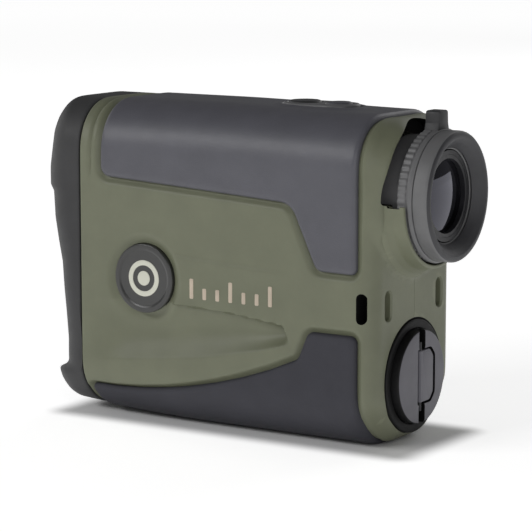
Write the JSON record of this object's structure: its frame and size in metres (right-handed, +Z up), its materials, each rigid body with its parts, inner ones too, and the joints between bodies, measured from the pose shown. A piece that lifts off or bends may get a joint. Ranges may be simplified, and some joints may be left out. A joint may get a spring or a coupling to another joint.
{
  "type": "laser rangefinder",
  "caption": "Pocket laser rangefinder: monocular over a laser receiver in an armoured two-half housing, with a diopter ring, top buttons and a screw-in battery cap.",
  "frame": {"origin": "under the middle of the device, on the surface that it stands on", "axes": "+X from the objective to the eyepiece, +Y to the right-hand side, +Z up"},
  "size_m": [0.1007, 0.038, 0.0756],
  "materials": {
    "housing_paint": "fine-textured olive soft-touch paint",
    "upper_rubber": "matt charcoal armour with a fine grain",
    "lower_rubber": "matt charcoal armour with a fine grain",
    "bezel_plastic": "black, fine spark-eroded texture",
    "black_plastic": "black, satin",
    "blackened_metal": "black anodised, satin",
    "coated_glass": "polished, violet-blue coating",
    "laser_glass": "polished, dark red-violet coating",
    "inner_glass": "polished",
    "prism_glass": "polished faces, ground sides",
    "steel": "zinc plated",
    "black_steel": "black oxide",
    "gold_contact": "gold plated spring metal",
    "diode_can": "gold plated can",
    "detector_can": "nickel plated can",
    "circuit_board": "green solder mask",
    "chip_black": "moulded epoxy",
    "switch_metal": "tinned",
    "flex_film": "amber polyimide film",
    "display_glass": "polished",
    "battery_wrap": "plain shrink wrap",
    "cap_plastic": "grey, satin",
    "tab_plastic": "grey, satin",
    "port_plastic": "black, satin",
    "ring_plastic": "dark grey, satin, ribbed",
    "eyecup_rubber": "soft black rubber",
    "seal_rubber": "plain black",
    "button_rubber": "satin black",
    "mode_rubber": "satin grey",
    "badge_black": "dark, satin",
    "badge_cream": "cream print",
    "mark_print": "pale copper print"
  },
  "bodies": {
    "housing": {"left_housing": "housing_paint", "right_housing": "housing_paint", "housing_gasket": "seal_rubber", "upper_armour": "upper_rubber", "lower_armour": "lower_rubber", "front_bezel": "bezel_plastic", "lens_plate": "black_plastic", "bezel_screws": "black_steel", "housing_screws": "steel", "objective_cell": "blackened_metal", "objective_crown_lens": "coated_glass", "objective_flint_lens": "inner_glass", "objective_retainer": "blackened_metal", "receiver_cell": "blackened_metal", "receiver_lens": "laser_glass", "receiver_retainer": "blackened_metal", "emitter_cell": "blackened_metal", "emitter_lens": "laser_glass", "prism_holder": "black_plastic", "roof_prism": "prism_glass", "half_prism": "prism_glass", "display_frame": "black_plastic", "display_panel": "display_glass", "main_board": "circuit_board", "board_chips": "chip_black", "laser_board": "circuit_board", "laser_diode": "diode_can", "light_detector": "detector_can", "button_board": "circuit_board", "tact_switches": "switch_metal", "flex_cables": "flex_film", "battery_sleeve": "black_plastic", "battery": "battery_wrap", "positive_contact": "gold_contact", "battery_port": "port_plastic", "eyepiece_barrel": "blackened_metal", "field_lens": "inner_glass", "button_bezel": "bezel_plastic", "fire_spring": "steel", "mode_spring": "steel", "badge_left": "badge_black", "badge_right": "badge_black", "badge_marks": "badge_cream", "range_marks": "mark_print"},
    "fire_button": {"fire_button": "button_rubber"},
    "mode_button": {"mode_button": "mode_rubber"},
    "eye_cell": {"eye_lens_cell": "blackened_metal", "eye_lens": "coated_glass", "middle_lens": "inner_glass", "lens_spacer": "blackened_metal", "eye_lens_retainer": "blackened_metal", "eyepiece_oring": "seal_rubber"},
    "diopter": {"diopter_ring": "ring_plastic", "eyecup": "eyecup_rubber", "cell_clip": "steel"},
    "cap_follower": {"cap_contact": "gold_contact"},
    "cap": {"battery_cap": "cap_plastic", "cap_oring": "seal_rubber", "tab_pin": "steel"},
    "tab": {"cap_tab": "tab_plastic"}
  },
  "joints": [
    {"name": "fire_press", "type": "slide", "parent": "housing", "child": "fire_button", "axis": [0, 0, -1], "range_m": [0, 0.0007], "stiffness_N_per_m": 600, "springref_m": -0.0005, "deforming": ["fire_spring"]},
    {"name": "mode_press", "type": "slide", "parent": "housing", "child": "mode_button", "axis": [0, 0, -1], "range_m": [0, 0.0007], "stiffness_N_per_m": 600, "springref_m": -0.0005, "deforming": ["mode_spring"]},
    {"name": "eye_cell_slide", "type": "slide", "parent": "housing", "child": "eye_cell", "axis": [1, 0, 0], "range_m": [-0.00087, 0.00087]},
    {"name": "diopter_turn", "type": "hinge", "parent": "eye_cell", "child": "diopter", "pos_m": [0.044, 0, 0.056], "axis": [1, 0, 0], "range_deg": [-63, 63]},
    {"name": "cap_travel", "type": "slide", "parent": "housing", "child": "cap_follower", "axis": [1, 0, 0], "range_m": [0, 0.00299]},
    {"name": "cap_turn", "type": "hinge", "parent": "cap_follower", "child": "cap", "pos_m": [0.04, 0, 0.015], "axis": [1, 0, 0], "range_deg": [0, 1080]},
    {"name": "tab_flip", "type": "hinge", "parent": "cap", "child": "tab", "pos_m": [0.04145, 0, 0.015], "axis": [0, 0, -1], "range_deg": [0, 90]}
  ],
  "couplings": [
    {"joint": "diopter_turn", "follows": "eye_cell_slide", "rad_per_m": 1250},
    {"joint": "cap_turn", "follows": "cap_travel", "rad_per_m": 6283.2}
  ]
}
